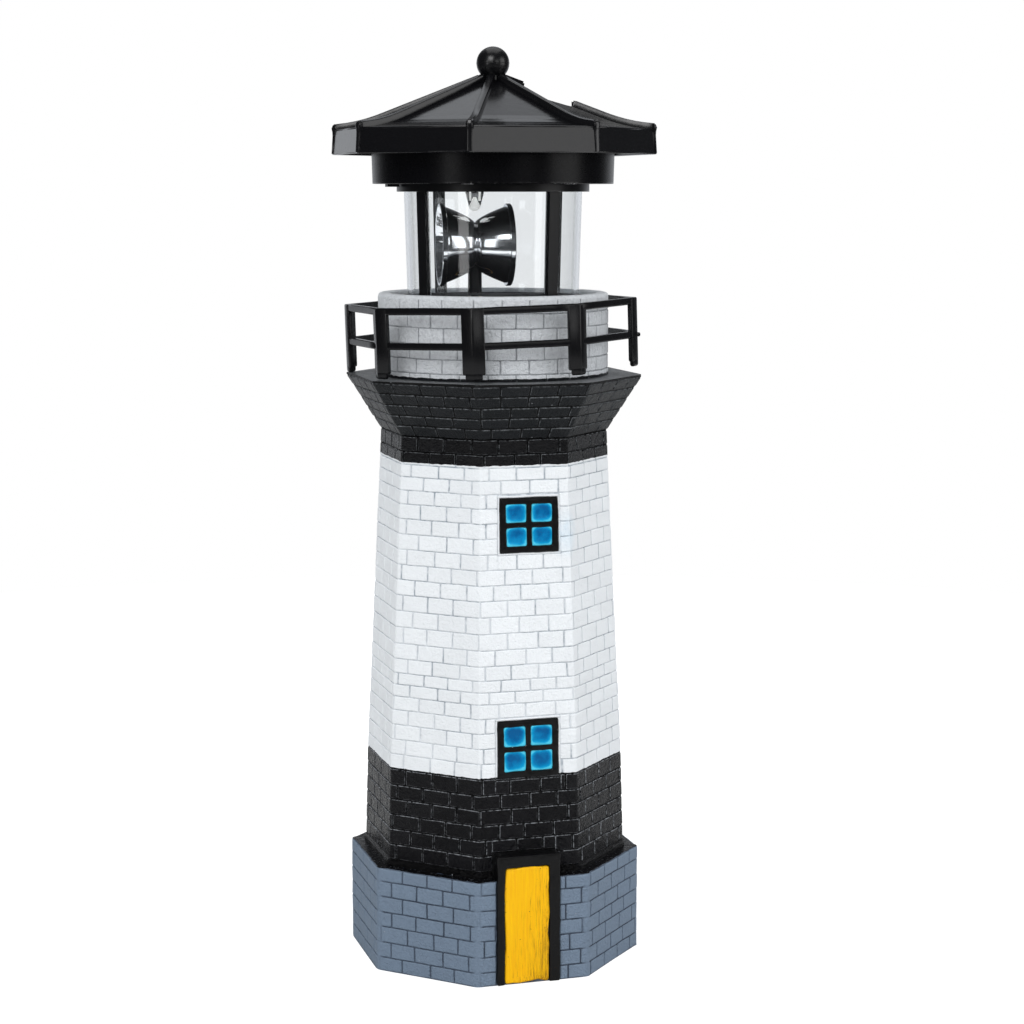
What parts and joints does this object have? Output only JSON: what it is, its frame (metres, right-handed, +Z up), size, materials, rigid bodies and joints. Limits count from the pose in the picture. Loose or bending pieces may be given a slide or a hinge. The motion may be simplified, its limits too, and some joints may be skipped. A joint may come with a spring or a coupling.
{
  "type": "garden lighthouse ornament",
  "caption": "Octagonal brick lighthouse ornament with a gallery railing and a lift-off solar lantern head in which a mirrored reflector turns round a lamp.",
  "frame": {"origin": "middle of the underside, on the surface that the tower stands on", "axes": "+Z up along the tower; the door and the windows face -Y; the solar panel faces +X"},
  "size_m": [0.118, 0.118, 0.3553],
  "materials": {
    "cast_stone": "cast stone powder, hand painted in white, black and slate grey",
    "black_paint": "gloss paint on a cast insert",
    "yellow_paint": "brushed gloss paint",
    "blue_paint": "gloss paint",
    "gloss_black": "moulded gloss plastic",
    "satin_black": "moulded satin plastic",
    "clear_lens": "clear acrylic",
    "clear_cover": "clear resin",
    "silicon": "solar cell",
    "mirror_plating": "vacuum plated",
    "board": "solder mask",
    "cell_wrap": "shrink sleeve",
    "steel": "zinc plated",
    "motor_can": "plated",
    "bronze": "sintered",
    "nylon": "natural",
    "lead_sleeve": "soft sleeve"
  },
  "bodies": {
    "tower": {"tower_body": "cast_stone", "door_frame": "black_paint", "door_leaf": "yellow_paint", "upper_window_frame": "black_paint", "upper_window_panes": "blue_paint", "lower_window_frame": "black_paint", "lower_window_panes": "blue_paint", "gallery_railing": "gloss_black"},
    "lantern_head": {"lantern_base": "satin_black", "lens_tube": "clear_lens", "lantern_cage": "satin_black", "ring_housing": "satin_black", "roof_shell": "gloss_black", "finial_ball": "gloss_black", "solar_panel": "silicon", "panel_cover": "clear_cover", "led": "clear_lens", "led_holder": "satin_black", "circuit_board": "board", "board_screws": "steel", "battery_cell": "cell_wrap", "battery_cradle": "satin_black", "battery_contacts": "steel", "switch_body": "steel", "roof_screws": "steel", "cage_screws": "steel", "motor": "motor_can", "motor_screws": "steel", "gearbox_floor": "satin_black", "gearbox_screws": "steel", "idler_axle": "steel", "spindle_bush": "bronze", "plug_cover": "satin_black", "motor_leads": "lead_sleeve", "battery_leads": "lead_sleeve", "panel_leads": "lead_sleeve", "led_leads": "lead_sleeve", "switch_leads": "lead_sleeve"},
    "switch": {"switch_knob": "satin_black"},
    "reflector": {"spindle": "satin_black", "output_gear": "nylon", "reflector_left": "mirror_plating", "reflector_right": "mirror_plating"},
    "idler": {"idler_gear": "nylon"},
    "rotor": {"motor_shaft": "steel", "motor_pinion": "nylon"}
  },
  "joints": [
    {"name": "head_lift", "type": "slide", "parent": "tower", "child": "lantern_head", "axis": [0, 0, 1], "range_m": [0, 0.06]},
    {"name": "switch_slide", "type": "slide", "parent": "lantern_head", "child": "switch", "axis": [0, 1, 0], "range_m": [0, 0.003]},
    {"name": "reflector_spin", "type": "hinge", "parent": "lantern_head", "child": "reflector", "pos_m": [-0.0074, 0, 0.2796], "axis": [0, 0, 1], "continuous": true},
    {"name": "idler_spin", "type": "hinge", "parent": "lantern_head", "child": "idler", "pos_m": [0.00218, 0.00803, 0.2516], "axis": [0, 0, 1], "continuous": true},
    {"name": "motor_spin", "type": "hinge", "parent": "lantern_head", "child": "rotor", "pos_m": [0.01241, 0.00087, 0.248], "axis": [0, 0, 1], "continuous": true}
  ],
  "couplings": [
    {"joint": "idler_spin", "follows": "reflector_spin", "ratio": -4},
    {"joint": "motor_spin", "follows": "reflector_spin", "ratio": 16}
  ]
}
